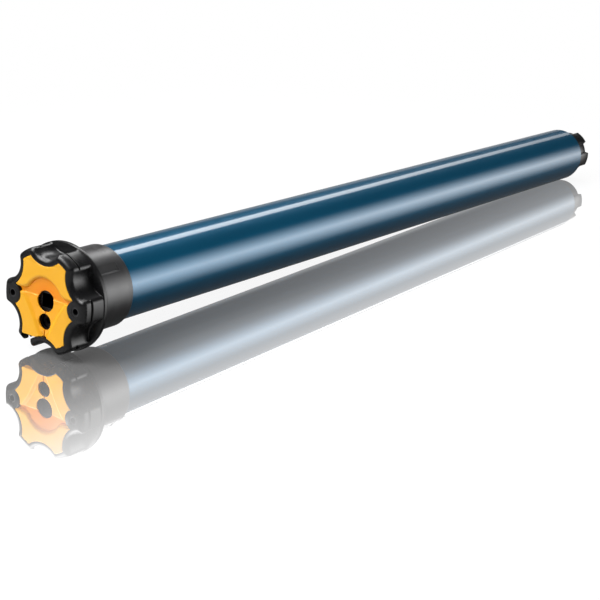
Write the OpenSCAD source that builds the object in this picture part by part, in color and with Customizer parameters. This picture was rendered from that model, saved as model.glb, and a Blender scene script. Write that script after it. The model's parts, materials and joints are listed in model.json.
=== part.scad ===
// Tubular roller blind motor: a star shaped fixed head, a turning crown, a painted motor tube
// and a drive hub at the far end, with the limit unit, motor, brake and gearbox inside.
// X runs along the motor from the face of the star head to the drive end, and Z is up.
// The origin is on the motor's axis in the plane of the head's face.

/* [Star head] */
// Radius over the six lobes of the head
lobe_r = 41.2; // [40.4:0.1:42]
// Depth of the scallops between the lobes
scallop_depth = 8.2; // [7.2:0.1:9.2]
// Radius of each scallop
scallop_r = 15; // [14:0.25:16]
// Rounding at the two corners of each lobe
lobe_corner_r = 4; // [3:0.25:4.5]
// Rounding along the front edge of the star
rim_round = 4; // [2:0.25:4.5]
// Length of the star from its face to the flange
star_len = 20.7; // [19.5:0.1:24]
// Step from the lobes out to the round flange behind the star
flange_step = 1; // [0.3:0.1:4.8]
// Thickness of the flange
flange_t = 3.5; // [2.5:0.25:6]
// Distance from the face to the groove for the bracket's spring ring
spring_groove_x = 7.6; // [6:0.2:9]
// Width of the spring ring groove
spring_groove_w = 1.8; // [1:0.1:2.5]
// Depth of the spring ring groove below the lobes
spring_groove_depth = 1.6; // [0.8:0.1:2.5]

/* [Fixings and openings of the head] */
// Distance from the tip of a lobe in to its bracket hole
boss_inset = 9.35; // [8.7:0.05:10.2]
// Bore of the threaded bushes in the bracket holes, for M6
insert_bore_r = 2.5; // [2:0.1:3]
// Outer radius of the threaded bushes
insert_r = 3.6; // [3.4:0.1:4.2]
// Length of the threaded bushes
insert_len = 12; // [8:0.5:15]
// Radius of the bare round boss that the yellow cover leaves round each bracket hole
boss_r = 8.2; // [7.8:0.1:8.6]
// Width across the square socket on the axis, which takes a bracket stud
stud_socket_w = 11; // [10:0.5:12]
// Depth of the stud socket behind the cover
stud_socket_depth = 26; // [15:1:34]
// Width of the slot that the supply lead leaves through
cable_slot_w = 9.5; // [8:0.25:10.5]
// Sideways place of the cable slot
cable_slot_y = 17; // [16.5:0.1:17.5]
// Depth of the cable slot from the tip of the lobes
cable_slot_depth = 12; // [11.4:0.1:12.4]

/* [Yellow cover] */
// Distance from the outline of the star to the edge of the cover
cover_inset = 5.5; // [5:0.1:6]
// Thickness of the cover where it is raised
cover_t = 5; // [4:0.25:6]
// Depth of the dish in the middle of the cover
dish_depth = 3.25; // [2:0.25:4]
// Radius at which the dish runs out
dish_rim_r = 36; // [34:0.5:38]
// Radius of the arch under the raised crescent
arch_r = 18.5; // [17.5:0.25:19.5]
// Radius of the hole on the axis
stud_hole_r = 8; // [7:0.25:8.5]
// Radius of the hole over the setting adjuster
setting_hole_r = 6.2; // [5.6:0.1:6.6]
// Distance of the setting adjuster below the axis
setting_drop = 15.8; // [15.4:0.1:16.2]

/* [Crown] */
// Outer radius of the crown
crown_r = 32.6; // [32:0.1:34]
// Length of the crown
crown_w = 38.7; // [36:0.1:44]
// Radius of the part of the head that the crown turns on
journal_r = 29.2; // [28.8:0.05:29.6]
// Length of that bearing surface
journal_len = 21.8; // [18:0.2:24]
// Clearance at each end of the crown
crown_play = 0.35; // [0.2:0.05:0.6]
// Depth of the key flat on the outside of the crown
key_flat_depth = 0.8; // [0.4:0.1:1.2]

/* [Motor tube] */
// Outer radius of the motor tube, the nominal 60 mm size
tube_r = 30; // [29.7:0.1:30.5]
// Wall of the motor tube
tube_wall = 1.5; // [1.2:0.1:1.8]
// Clearance of what fits inside the tube, on the radius
tube_fit = 0.1; // [0.05:0.05:0.3]

/* [Lengths inside the tube] */
// Plug that joins the head to the tube
plug_len = 22; // [20:1:30]
// Limit switch unit
limit_len = 72; // [72:0.5:90]
// Terminal board and its clearance to the capacitor
terminal_len = 22; // [18:1:30]
// Motor capacitor
capacitor_len = 120; // [80:1:140]
// Thickness of each motor end shield
shield_t = 10; // [8:0.5:16]
// Overhang of the stator winding at each end
winding_len = 18; // [14:1:24]
// Clearance between a winding and its end shield
winding_gap = 5; // [5:0.5:9]
// Laminated stack of the stator and the rotor
stack_len = 220; // [120:5:260]
// Brake compartment
brake_len = 60; // [58:1:80]
// Face width of the gears in the three stages
stage_w = [24, 34, 48]; // [20:1:60]
// Free run of the output shaft
shaft_run = 45.4; // [20:0.2:80]
// End cap at the drive end of the tube
end_cap_len = 28; // [24:1:36]

/* [Gears] */
// Module of the planetary gears
gear_m = 0.9; // [0.85:0.01:0.92]
// Thickness taken off each gear tooth for backlash
backlash = 0.08; // [0.04:0.01:0.12]
// Radius of the pins that carry the planet gears
planet_pin_r = 2.5; // [2:0.1:3]
// Running clearance of shafts and pins, on the radius
running_fit = 0.05; // [0.03:0.01:0.09]

/* [Drive end] */
// Radius of the output shaft
output_r = 11; // [10:0.25:12]
// Radius over the lobes of the drive hub
hub_r = 28; // [26:0.1:29]
// Radius of the hub's body between the lobes
hub_body_r = 24; // [20:0.2:25]
// Length of the hub's body
hub_len = 24; // [20:0.5:28]
// Length of the hub's lobes
hub_lobe_len = 24; // [20:0.5:28]
// Width of each hub lobe
hub_lobe_w = 15; // [10:0.25:17]
// Turn of the hub about the axis at rest
hub_turn = 8; // [0:1:60]

/* [Hidden] */
$fn = 72;
cut = 1;                // overshoot of a cut past the face that it opens
gap = 0.3;              // axial clearance between pieces that turn past each other
seat = 0.1;             // clearance between a loose piece and its seat

// Places along the motor, each one from the piece before it
crown_x = star_len + flange_t + crown_play;
tube_x = crown_x + crown_w + crown_play;
limit_x = tube_x + plug_len;
terminal_x = limit_x + limit_len;
capacitor_x = terminal_x + terminal_len;
shield_x = capacitor_x + capacitor_len + 6;
core_x = shield_x + shield_t + winding_gap + winding_len;
rear_shield_x = core_x + stack_len + winding_len + winding_gap;
brake_x = rear_shield_x + shield_t;
gear_x = brake_x + brake_len;
case_plate = 5;
carrier_t = [6, 7, 9];
stage_x = [gear_x + case_plate + gap,
    gear_x + case_plate + gap + stage_w[0] + carrier_t[0] + 2 * gap,
    gear_x + case_plate + gap + stage_w[0] + carrier_t[0] + stage_w[1] + carrier_t[1] + 4 * gap];
end_plate_x = stage_x[2] + stage_w[2] + carrier_t[2] + 2 * gap;
end_plate_len = 20;
end_cap_x = end_plate_x + end_plate_len + shaft_run;
tube_end = end_cap_x + end_cap_len;
fit_r = tube_r - tube_wall - tube_fit;

// Gears of the limit unit: the crown drives the idler, and the idler drives both spindles
crown_m = 0.75;
crown_teeth = 72;
idler_teeth = 18;
idler_z = crown_m * (crown_teeth - idler_teeth) / 2;
spindle_m = 0.5;
small_teeth = 12;
spindle_teeth = 48;
spindle_y = 9;
spindle_reach = spindle_m * (small_teeth + spindle_teeth) / 2;
spindle_z = idler_z - sqrt(pow(spindle_reach, 2) - pow(spindle_y, 2));
journal_end = star_len + flange_t + journal_len;
pinion_x = journal_end + 2;
pinion_w = 10;
neck_r = crown_m * crown_teeth / 2 - 1.7;

// Planetary stages
sun_teeth = 12;
planet_teeth = 21;
ring_teeth = sun_teeth + 2 * planet_teeth;
planet_orbit = gear_m * (sun_teeth + planet_teeth) / 2;

// Star, bosses and arch of the head
valley_r = lobe_r - scallop_depth;
flange_r = lobe_r + flange_step;
boss_hole_offset = lobe_r - boss_inset;
cable_slot_top = cable_slot_depth - lobe_r;
arch_sweep = [[arch_r + 1, boss_r + 0.8], [boss_hole_offset - 5.05, boss_r - 2], [lobe_r, boss_r - 2.2]];
idler_seat = 7;         // depth of the idler's front bearing

// Sockets and screws of the head
dish_r = (pow(dish_rim_r, 2) + pow(dish_depth, 2)) / 2 / dish_depth;
adjuster_head_r = setting_hole_r - 0.4;
adjuster_head_len = 8;
adjuster_x = cover_t + 2;
socket_low = [cover_t + seat, cable_slot_y - 5.9, cable_slot_top];
socket_high = [cover_t + 11, cable_slot_y + 5.9, cable_slot_top + 17];
pin_r = 0.8;
pin_places = [for (i = [-1, 1], j = [-1, 1])
    [(socket_low[0] + socket_high[0]) / 2 + 1.7 * i, cable_slot_y + 2.2 * j]];
side_screw_angle = 232;
side_screw_x = spring_groove_x + spring_groove_w + 1;
side_screw_r = 2.3;
side_screw_depth = 6;
key_angle = 142;
key_w = 12;

// Lead passage, screws and other places shared by several pieces
lead_y = 13;
lead_z = -15.5;
lead_hole_r = 4;
head_screw_angles = [35, 145, 205, 335];
head_screw_circle = 17.5;
head_screw_r = 2;
head_screw_grip = 12;   // depth of each screw in the head
head_screw_head = 4;    // depth of the seat for each screw's head
plug_screw_angles = [285, 15];
plug_screw_x = tube_x + plug_len / 2;
motor_shaft_r = 6;
adjuster_r = 2.8;
spindle_r = 3;
spindle_end_r = 2;
idler_shaft_r = 2.5;
idler_turn = atan2(spindle_z - idler_z, spindle_y);
terminal_board_t = 3;
terminal_block = [12, 28, 14];
terminal_pitch = 6.5;
cradle_w = 10;
cradle_inset = 6;
cradle_gap_w = 16;
capacitor_r = 18;
bush_r = motor_shaft_r + 3;
slot_count = 24;
bore_r = 16.4;
coil_len = 24;
coil_r = 21;
coil_bore_r = 13;
output_bush_r = output_r + 3;
seal_t = 6;
seal_r = output_r + 6;
hex_r = output_r - 2;
hub_x = tube_end + 0.8;
hub_pocket = 7;         // depth of the recess for the screw in the hub's end
hub_seat_x = hub_x + hub_len - hub_pocket;
hub_pocket_r = output_r + 1.2;
setting_hex_r = 3.5;
top_lead_r = 23.6;
top_lead_angles = [80, 90, 100];
lead_r = 1.2;

// A stretch along X, drawn in the YZ plane
module along(x) translate([x, 0, 0]) rotate([90, 0, 90]) children();
module rod(x, len, r, y = 0, z = 0) translate([x, y, z]) rotate([90, 0, 90]) cylinder(r = r, h = len);
module tube(x, len, r_out, r_in, y = 0, z = 0)
    difference() {
        rod(x, len, r_out, y, z);
        rod(x - cut, len + 2 * cut, r_in, y, z);
    }
module turned(points) rotate([0, 90, 0]) rotate_extrude() polygon(points);
module block(low, high) translate(low) cube(high - low);

// Points of an arc, without its last one, so that arcs can follow each other
function arc(r, from, to, steps, c = [0, 0]) =
    [for (i = [0:steps - 1]) c + r * [cos(from + (to - from) * i / steps), sin(from + (to - from) * i / steps)]];

// Outline of the star, moved inwards by inset: each lobe is an arc, each scallop an arc, and small
// arcs touch both at the corners
function star_points(inset = 0) =
    let (reach = valley_r + scallop_r,
         rs = scallop_r + inset,
         rc = max(lobe_corner_r - inset, 0.6),
         ro = lobe_r - inset,
         rm = ro - rc,
         half = 30 - acos((reach * reach + rm * rm - pow(rs + rc, 2)) / (2 * reach * rm)),
         corner = rm * [cos(half), sin(half)],
         scallop = reach * [cos(30), sin(30)],
         turn = atan2(scallop[1] - corner[1], scallop[0] - corner[0]))
    [for (k = [0:5], p = concat(
        arc(rc, half, turn, 5, corner),
        arc(rs, turn + 180, 240 - turn, 8, scallop),
        arc(rc, 60 - turn, 60 - half, 5, rm * [cos(60 - half), sin(60 - half)]),
        arc(ro, 60 - half, 60 + half, 4)))
        [p[0] * cos(60 * k) - p[1] * sin(60 * k), p[0] * sin(60 * k) + p[1] * cos(60 * k)]];

// Front edge of the star as rings of its outline, closed by a fan of triangles at each end
module star_edge() {
    steps = 4;
    n = len(star_points());
    low = (steps + 1) * n;
    polyhedron(
        points = concat(
            [for (i = [0:steps], p = star_points(rim_round * (1 - sin(90 * i / steps))))
                [rim_round * (1 - cos(90 * i / steps)), p[0], p[1]]],
            [[0, 0, 0], [rim_round, 0, 0]]),
        faces = concat(
            [for (i = [0:n - 1]) [low, i, (i + 1) % n]],
            [for (k = [0:steps - 1], i = [0:n - 1])
                [k * n + i, (k + 1) * n + i, (k + 1) * n + (i + 1) % n, k * n + (i + 1) % n]],
            [for (i = [0:n - 1]) [low + 1, steps * n + (i + 1) % n, steps * n + i]]));
}

// Involute gear outline. add and ded are in modules, thin is taken off each tooth at the pitch circle
pressure = 25;
function involute(a) = tan(a) * 180 / PI - a;
function gear_points(teeth, m, add, ded, thin) =
    let (rp = m * teeth / 2,
         rb = rp * cos(pressure),
         root = rp - ded * m,
         tip = rp + add * m,
         start = max(rb, root),
         half = 90 / teeth - thin / 2 / rp * 180 / PI + involute(pressure),
         flank = [for (j = [0:3]) let (r = start + (tip - start) * j / 3) [r, half - involute(acos(min(rb / r, 1)))]],
         foot = root < rb - 0.02 ? [[root, flank[0][1]]] : [],
         side = concat(foot, flank))
    [for (k = [0:teeth - 1], q = concat(
        [for (s = side) [s[0], 360 * k / teeth - s[1]]],
        [for (i = [len(side) - 1:-1:0]) [side[i][0], 360 * k / teeth + side[i][1]]]))
        q[0] * [cos(q[1]), sin(q[1])]];
add_out = 0.8;
ded_out = 1.05;
module gear(x, w, teeth, m, turn = 0, y = 0, z = 0)
    translate([0, y, z]) along(x) rotate(turn)
        linear_extrude(w) polygon(gear_points(teeth, m, add_out, ded_out, backlash));
// The space that an internal gear leaves
module gear_space(x, w, teeth, m)
    along(x) linear_extrude(w) polygon(gear_points(teeth, m, ded_out, add_out, -backlash));
// Turn that puts a gear in mesh with a driver which has a tooth at driver_turn, in direction theta
function mesh_turn(theta, driver_turn, driver_teeth, teeth) =
    theta + 180 - 360 / teeth * (0.5 - (theta - driver_turn) * driver_teeth / 360);

// Head

module cover_outline(wider = 0)
    difference() {
        polygon(star_points(cover_inset - wider));
        for (side = [-1, 1]) translate([side * boss_hole_offset, 0]) circle(boss_r - wider);
    }

module head_casting() color([0.16, 0.16, 0.17]) difference() {
    union() {
        star_edge();
        along(rim_round) linear_extrude(star_len - rim_round) polygon(star_points());
        turned([[0, star_len], [flange_r - 0.6, star_len], [flange_r, star_len + 0.6],
            [flange_r, star_len + flange_t - 0.6], [flange_r - 0.6, star_len + flange_t], [0, star_len + flange_t]]);
        rod(star_len + flange_t, journal_len, journal_r);
        rod(journal_end, tube_x - journal_end, neck_r);
    }
    along(-cut) linear_extrude(cover_t + cut) cover_outline(seat);
    // Groove across the lobes for the spring ring of the bracket
    difference() {
        rod(spring_groove_x, spring_groove_w, flange_r + 2);
        rod(spring_groove_x - cut, spring_groove_w + 2 * cut, lobe_r - spring_groove_depth);
    }
    for (side = [-1, 1]) rod(-cut, insert_len + seat + cut, insert_r, side * boss_hole_offset);
    translate([cover_t - cut, 0, 0]) block([0, -stud_socket_w / 2, -stud_socket_w / 2],
        [stud_socket_depth + cut, stud_socket_w / 2, stud_socket_w / 2]);
    rod(cover_t - cut, adjuster_x + adjuster_head_len + 1 - cover_t + cut, adjuster_head_r + seat, 0, -setting_drop);
    rod(cover_t, tube_x - cover_t + cut, adjuster_r + running_fit, 0, -setting_drop);
    block(socket_low - [seat, seat, 0], socket_high + [seat, seat, seat]);
    block([-cut, cable_slot_y - cable_slot_w / 2, -flange_r - cut],
        [socket_high[0] + seat, cable_slot_y + cable_slot_w / 2, cable_slot_top + cut]);
    rod(socket_high[0] - cut, tube_x - socket_high[0] + 2 * cut, lead_hole_r, lead_y, lead_z);
    for (a = head_screw_angles)
        rod(tube_x - head_screw_grip, head_screw_grip + cut, head_screw_r, head_screw_circle * cos(a), head_screw_circle * sin(a));
    // Pocket of the idler pinion, open towards the crown's teeth, and its front bearing
    rod(journal_end + 1, tube_x - journal_end, crown_m * idler_teeth / 2 + 1, 0, idler_z);
    rod(journal_end - idler_seat, idler_seat + 2, idler_shaft_r + running_fit, 0, idler_z);
    rotate([side_screw_angle, 0, 0]) translate([side_screw_x, lobe_r - side_screw_depth, 0]) rotate([-90, 0, 0])
        cylinder(r = side_screw_r, h = side_screw_depth + 2);
}

module face_cover() color([0.98, 0.83, 0.42]) difference() {
    along(0) linear_extrude(cover_t) cover_outline();
    intersection() {
        translate([dish_depth - dish_r, 0, 0]) sphere(dish_r);
        along(-cut) linear_extrude(cover_t) union() {
            circle(arch_r);
            // The arch sweeps out on both sides to the bosses
            for (side = [-1, 1]) polygon([[-side, -lobe_r], [side * lobe_r, -lobe_r],
                for (i = [2:-1:0]) [side * arch_sweep[i][0], arch_sweep[i][1]],
                [side * arch_r * cos(45), arch_r * sin(45)], [-side, 0]]);
        }
    }
    rod(-cut, cover_t + 2 * cut, stud_hole_r);
    rod(-cut, cover_t + 2 * cut, setting_hole_r, 0, -setting_drop);
    // Slit through both holes to the lower edge
    block([-cut, -0.35, -valley_r], [cover_t + cut, 0.35, -stud_hole_r + 1]);
    block([-cut, cable_slot_y - 7, -lobe_r], [cover_t + cut, cable_slot_y + 7, cable_slot_top]);
}

module bracket_inserts() color([0.35, 0.35, 0.37])
    for (side = [-1, 1]) tube(0.4, insert_len - 0.4, insert_r, insert_bore_r, side * boss_hole_offset);

module side_screw() color([0.22, 0.22, 0.24])
    rotate([side_screw_angle, 0, 0]) translate([side_screw_x, lobe_r - side_screw_depth, 0]) rotate([-90, 0, 0])
        difference() {
            cylinder(r = side_screw_r, h = 3.2);
            translate([0, 0, 1.6]) cylinder(r = 1.1, h = 3, $fn = 6);
        }

module power_socket() color([0.1, 0.1, 0.11]) difference() {
    block(socket_low, socket_high);
    block(socket_low + [1.8, 1.8, -cut], socket_high - [1.8, 1.8, 6.5]);
    for (p = pin_places) translate([p[0], p[1], socket_high[2] - 7]) cylinder(r = pin_r, h = 8);
}

module socket_pins() color([0.85, 0.7, 0.4])
    for (p = pin_places) translate([p[0], p[1], cable_slot_top + 3]) cylinder(r = pin_r, h = 13);

module setting_adjuster() color([0.75, 0.75, 0.72]) difference() {
    union() {
        rod(adjuster_x, adjuster_head_len, adjuster_head_r, 0, -setting_drop);
        rod(adjuster_x, limit_x + limit_len - 0.5 - adjuster_x, adjuster_r, 0, -setting_drop);
    }
    translate([adjuster_x - cut, 0, -setting_drop]) rotate([90, 0, 90])
        cylinder(r = setting_hex_r, h = 5 + cut, $fn = 6);
}

module head_screws() color([0.7, 0.7, 0.72])
    for (a = head_screw_angles) translate([0, head_screw_circle * cos(a), head_screw_circle * sin(a)]) {
        rod(tube_x - head_screw_grip + 0.5, head_screw_grip - 0.5 + plug_len - head_screw_head, head_screw_r);
        difference() {
            rod(limit_x - head_screw_head, head_screw_head - 1, 3.5);
            translate([limit_x - head_screw_head + 1.5, 0, 0]) rotate([90, 0, 90]) cylinder(r = 1.5, h = 2, $fn = 6);
        }
    }

module tube_plug() color([0.55, 0.56, 0.58]) difference() {
    rod(tube_x, plug_len, fit_r);
    rod(tube_x - cut, plug_len + 2 * cut, 9);
    rod(tube_x - cut, plug_len + 2 * cut, lead_hole_r, lead_y, lead_z);
    rod(tube_x - cut, plug_len + 2 * cut, adjuster_r + running_fit, 0, -setting_drop);
    rod(tube_x - cut, plug_len + 2 * cut, idler_shaft_r + 1, 0, idler_z);
    for (a = head_screw_angles) {
        rod(tube_x - cut, plug_len + 2 * cut, head_screw_r + seat, head_screw_circle * cos(a), head_screw_circle * sin(a));
        rod(limit_x - head_screw_head, head_screw_head + cut, 3.6, head_screw_circle * cos(a), head_screw_circle * sin(a));
    }
    for (a = plug_screw_angles) rotate([a, 0, 0]) translate([plug_screw_x, 21.5, 0]) rotate([-90, 0, 0])
        cylinder(r = 2, h = 10);
}

// Crown: it turns on the head, carries the roller tube, and drives the limit unit by its inner teeth
module crown() color([0.3, 0.3, 0.31]) difference() {
    turned([[0, crown_x], [crown_r + 0.5, crown_x], [crown_r + 0.9, crown_x + 0.5], [crown_r + 0.9, crown_x + 2.4],
        [crown_r, crown_x + 3.2], [crown_r, tube_x - crown_play - 1], [crown_r - 0.8, tube_x - crown_play],
        [0, tube_x - crown_play]]);
    rod(crown_x - cut, journal_end + 0.4 - crown_x + cut, journal_r + running_fit);
    gear_space(journal_end, crown_w, crown_teeth, crown_m);
    // Key flat that the roller tube's tongue lies in
    rotate([key_angle, 0, 0]) block([crown_x + 9, crown_r - key_flat_depth, -key_w],
        [tube_x - 10, crown_r + 2, 0]);
    rotate([key_angle + 180, 0, 0]) block([crown_x + 9, crown_r - key_flat_depth, -key_w / 2],
        [tube_x - 10, crown_r + 2, key_w / 2]);
    // Small drive notch in the front lip
    rotate([212, 0, 0]) block([crown_x - cut, crown_r - 0.8, -2.5], [crown_x + 5, crown_r + 2, 2.5]);
}

module motor_tube() color([0.08, 0.42, 0.54]) difference() {
    rod(tube_x, tube_end - tube_x, tube_r);
    rod(tube_x - cut, tube_end - tube_x + 2 * cut, tube_r - tube_wall);
    for (a = plug_screw_angles) rotate([a, 0, 0]) translate([plug_screw_x, tube_r - tube_wall - 2, 0])
        rotate([-90, 0, 0]) cylinder(r = 3.7, h = 6);
}

module plug_screws() color([0.7, 0.7, 0.72])
    for (a = plug_screw_angles) rotate([a, 0, 0]) translate([plug_screw_x, 0, 0]) rotate([-90, 0, 0])
        difference() {
            union() {
                translate([0, 0, 22]) cylinder(r = 1.95, h = fit_r - 21);
                translate([0, 0, fit_r + 0.05]) cylinder(r = 3.6, h = tube_r - fit_r - 0.2);
            }
            translate([0, 0, tube_r - 0.8]) cube([5, 0.9, 1.4], center = true);
        }

// Limit unit

mid_plate_x = limit_x + 14.5;
mid_plate_t = 3;
rear_plate_t = 4;
rear_plate_x = limit_x + limit_len - rear_plate_t;
small_gear_x = limit_x + 4.3;
switch_len = 12;
plunger_out = 1.5;
nut_len = 8;
nut_travel = 9.125;
carriage_travel = 3;
up_switch_x = mid_plate_x + mid_plate_t + carriage_travel + 1;
up_nut_x = up_switch_x + switch_len + plunger_out + 0.3 + carriage_travel + nut_travel;
down_switch_x = rear_plate_x - switch_len;
down_nut_x = down_switch_x - plunger_out - 0.3 - nut_travel - nut_len;
shelf_top = spindle_z - 5 - 0.25;
shelf_t = 2;
switch_y = 17.55;
plunger_z = spindle_z;

module limit_plate(x, t) difference() {
    rod(x, t, fit_r);
    rod(x - cut, t + 2 * cut, lead_hole_r, lead_y, lead_z);
    rod(x - cut, t + 2 * cut, adjuster_r + running_fit, 0, -setting_drop);
}

module limit_frame() color([0.85, 0.85, 0.82]) {
    difference() {
        limit_plate(limit_x, 4);
        rod(limit_x - cut, 4 + 2 * cut, idler_shaft_r + 1, 0, idler_z);
        for (s = [-1, 1]) rod(limit_x - cut, 4 + 2 * cut, spindle_end_r + running_fit, s * spindle_y, spindle_z);
    }
    difference() {
        limit_plate(mid_plate_x, mid_plate_t);
        rod(mid_plate_x - cut, mid_plate_t + 2 * cut, spindle_end_r + running_fit, 0, idler_z);
        for (s = [-1, 1]) rod(mid_plate_x - cut, mid_plate_t + 2 * cut, spindle_r + 0.3, s * spindle_y, spindle_z);
    }
    difference() {
        limit_plate(rear_plate_x, rear_plate_t);
        for (s = [-1, 1]) rod(rear_plate_x - cut, rear_plate_t + 2 * cut, spindle_end_r + running_fit, s * spindle_y, spindle_z);
    }
    // Shelf that keeps the nuts from turning, and the web under it
    block([mid_plate_x + mid_plate_t, -21, shelf_top - shelf_t], [rear_plate_x, 13.8, shelf_top]);
    intersection() {
        block([mid_plate_x, -14, -24.2], [rear_plate_x + 1, -12, shelf_top - 1]);
        rod(limit_x, limit_len, fit_r);
    }
    // Trough along the bottom of the unit
    intersection() {
        tube(limit_x, limit_len, fit_r, fit_r - 2);
        block([limit_x, -21, -fit_r - cut], [limit_x + limit_len, 21, -19.5]);
    }
}

module limit_idler() color([0.9, 0.9, 0.86]) {
    rod(journal_end - 6.5, small_gear_x + cut - journal_end + 6.5, idler_shaft_r, 0, idler_z);
    gear(pinion_x, pinion_w, idler_teeth, crown_m, 90, 0, idler_z);
    gear(small_gear_x, mid_plate_x - gap - small_gear_x, small_teeth, spindle_m, idler_turn, 0, idler_z);
    rod(mid_plate_x - cut, mid_plate_t - 0.5 + cut, spindle_end_r, 0, idler_z);
}

module spindle(side, gear_offset) {
    y = side * spindle_y;
    theta = atan2(spindle_z - idler_z, y);
    gear(limit_x + gear_offset, 4, spindle_teeth, spindle_m,
        mesh_turn(theta, idler_turn, small_teeth, spindle_teeth), y, spindle_z);
    rod(limit_x + gap, 5, spindle_end_r, y, spindle_z);
    rod(limit_x + 4 + gap, limit_len - 4 - gap - rear_plate_t - gap, spindle_r, y, spindle_z);
    rod(rear_plate_x - gap - cut, rear_plate_t + cut, spindle_end_r, y, spindle_z);
}
module up_spindle() color([0.78, 0.74, 0.6]) spindle(1, 4.5);
module down_spindle() color([0.78, 0.74, 0.6]) spindle(-1, 9.3);

module limit_nut(side, x) difference() {
    union() {
        block([x, side * spindle_y - 5, spindle_z - 5], [x + nut_len, side * spindle_y + 5, spindle_z + 5]);
        block([x, min(side * 13, side * 19.5), spindle_z - 3], [x + nut_len, max(side * 13, side * 19.5), spindle_z + 3]);
    }
    rod(x - cut, nut_len + 2 * cut, spindle_r + running_fit, side * spindle_y, spindle_z);
}
module up_nut() color([0.95, 0.95, 0.92]) limit_nut(1, up_nut_x);
module down_nut() color([0.35, 0.36, 0.38]) limit_nut(-1, down_nut_x);

module limit_switch(side, x, plunger_face) difference() {
    block([x, side * switch_y - 2.95, shelf_top - 0.1 * (side + 1) / 2],
        [x + switch_len, side * switch_y + 2.95, shelf_top + 9.6]);
    rod(plunger_face - (side > 0 ? 3.5 : cut), 3.5 + cut, 1 + running_fit, side * switch_y, plunger_z);
}
module up_switch() color([0.12, 0.12, 0.13]) limit_switch(1, up_switch_x, up_switch_x + switch_len);
module down_switch() color([0.12, 0.12, 0.13]) limit_switch(-1, down_switch_x, down_switch_x);
module up_plunger() color([0.8, 0.2, 0.15])
    rod(up_switch_x + switch_len - 2.5, 2.5 + plunger_out, 1, switch_y, plunger_z);
module down_plunger() color([0.8, 0.2, 0.15])
    rod(down_switch_x - plunger_out, 2.5 + plunger_out, 1, -switch_y, plunger_z);

// Carriage of the upper switch, moved by the setting adjuster's thread
module switch_carriage() color([0.6, 0.62, 0.65]) difference() {
    union() {
        block([up_switch_x, -5, -setting_drop - 5], [up_switch_x + switch_len, 5, -setting_drop + 5.2]);
        block([up_switch_x, -5, -setting_drop + 4.6], [up_switch_x + switch_len, 22, -setting_drop + 7.4]);
        block([up_switch_x, 19.6, -setting_drop + 4.6], [up_switch_x + switch_len, 22, shelf_top - 0.1]);
        block([up_switch_x, 14.3, shelf_top - 2.3], [up_switch_x + switch_len, 22, shelf_top - 0.1]);
    }
    rod(up_switch_x - cut, switch_len + 2 * cut, adjuster_r + running_fit, 0, -setting_drop);
}

// Wiring and capacitor

module inner_leads() color([0.45, 0.3, 0.2]) {
    for (a = [90, 210, 330])
        rod(socket_high[0], terminal_x - socket_high[0], lead_r, lead_y + 1.6 * cos(a), lead_z + 1.6 * sin(a));
    for (a = top_lead_angles)
        rod(terminal_x + terminal_board_t, core_x - winding_len - terminal_x - terminal_board_t, lead_r,
            top_lead_r * cos(a), top_lead_r * sin(a));
}

module terminal_board() color([0.2, 0.45, 0.3]) {
    rod(terminal_x, terminal_board_t, fit_r);
    difference() {
        block([terminal_x + terminal_board_t, -terminal_block[1] / 2, -terminal_block[2] / 2],
            [terminal_x + terminal_board_t + terminal_block[0], terminal_block[1] / 2, terminal_block[2] / 2]);
        for (i = [-1.5:1:1.5]) {
            translate([terminal_x + terminal_board_t + terminal_block[0] / 2, i * terminal_pitch, 2])
                cylinder(r = terminal_pitch / 2 - 1.05, h = terminal_block[2] / 2 - 1);
            rod(terminal_x + terminal_board_t + terminal_block[0] - 7, 8, 1.4, i * terminal_pitch, -2.5);
        }
    }
}

module capacitor() color([0.86, 0.86, 0.88]) {
    turned([[0, capacitor_x], [capacitor_r - 1.5, capacitor_x], [capacitor_r, capacitor_x + 1.5],
        [capacitor_r, capacitor_x + capacitor_len - 1.5], [capacitor_r - 1.5, capacitor_x + capacitor_len],
        [0, capacitor_x + capacitor_len]]);
    for (s = [-1, 1]) block([capacitor_x - 6, s * 6 - 3, -0.4], [capacitor_x + cut, s * 6 + 3, 0.4]);
}

module capacitor_cradles() color([0.8, 0.8, 0.76])
    for (x = [capacitor_x + cradle_inset, capacitor_x + capacitor_len - cradle_inset - cradle_w]) difference() {
        rod(x, cradle_w, fit_r);
        rod(x - cut, cradle_w + 2 * cut, capacitor_r + seat);
        block([x - cut, -cradle_gap_w / 2, capacitor_r + 2], [x + cradle_w + cut, cradle_gap_w / 2, tube_r]);
    }

// Motor

module shield(x, skirt_from, skirt_to) difference() {
    union() {
        rod(x, shield_t, fit_r);
        tube(min(skirt_from, skirt_to), abs(skirt_to - skirt_from), fit_r, fit_r - 2);
    }
    rod(x - cut, shield_t + 2 * cut, bush_r);
}
module front_shield() color([0.7, 0.71, 0.73]) difference() {
    shield(shield_x, shield_x + shield_t - cut, core_x);
    for (a = top_lead_angles)
        rod(shield_x - cut, shield_t + 2 * cut, lead_r + 0.3, top_lead_r * cos(a), top_lead_r * sin(a));
}
module rear_shield() color([0.7, 0.71, 0.73]) shield(rear_shield_x, core_x + stack_len, rear_shield_x + cut);

module motor_bushes() color([0.72, 0.56, 0.35])
    for (x = [shield_x, rear_shield_x]) tube(x, shield_t, bush_r, motor_shaft_r + running_fit);

module stator_core() color([0.42, 0.42, 0.44]) along(core_x) linear_extrude(stack_len) difference() {
    circle(fit_r);
    circle(bore_r);
    for (i = [0:slot_count - 1]) rotate(360 / slot_count * i) {
        translate([bore_r + 1, -1.3]) square([8, 2.6]);
        translate([bore_r - 1, -0.5]) square([3, 1]);
    }
}

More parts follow.
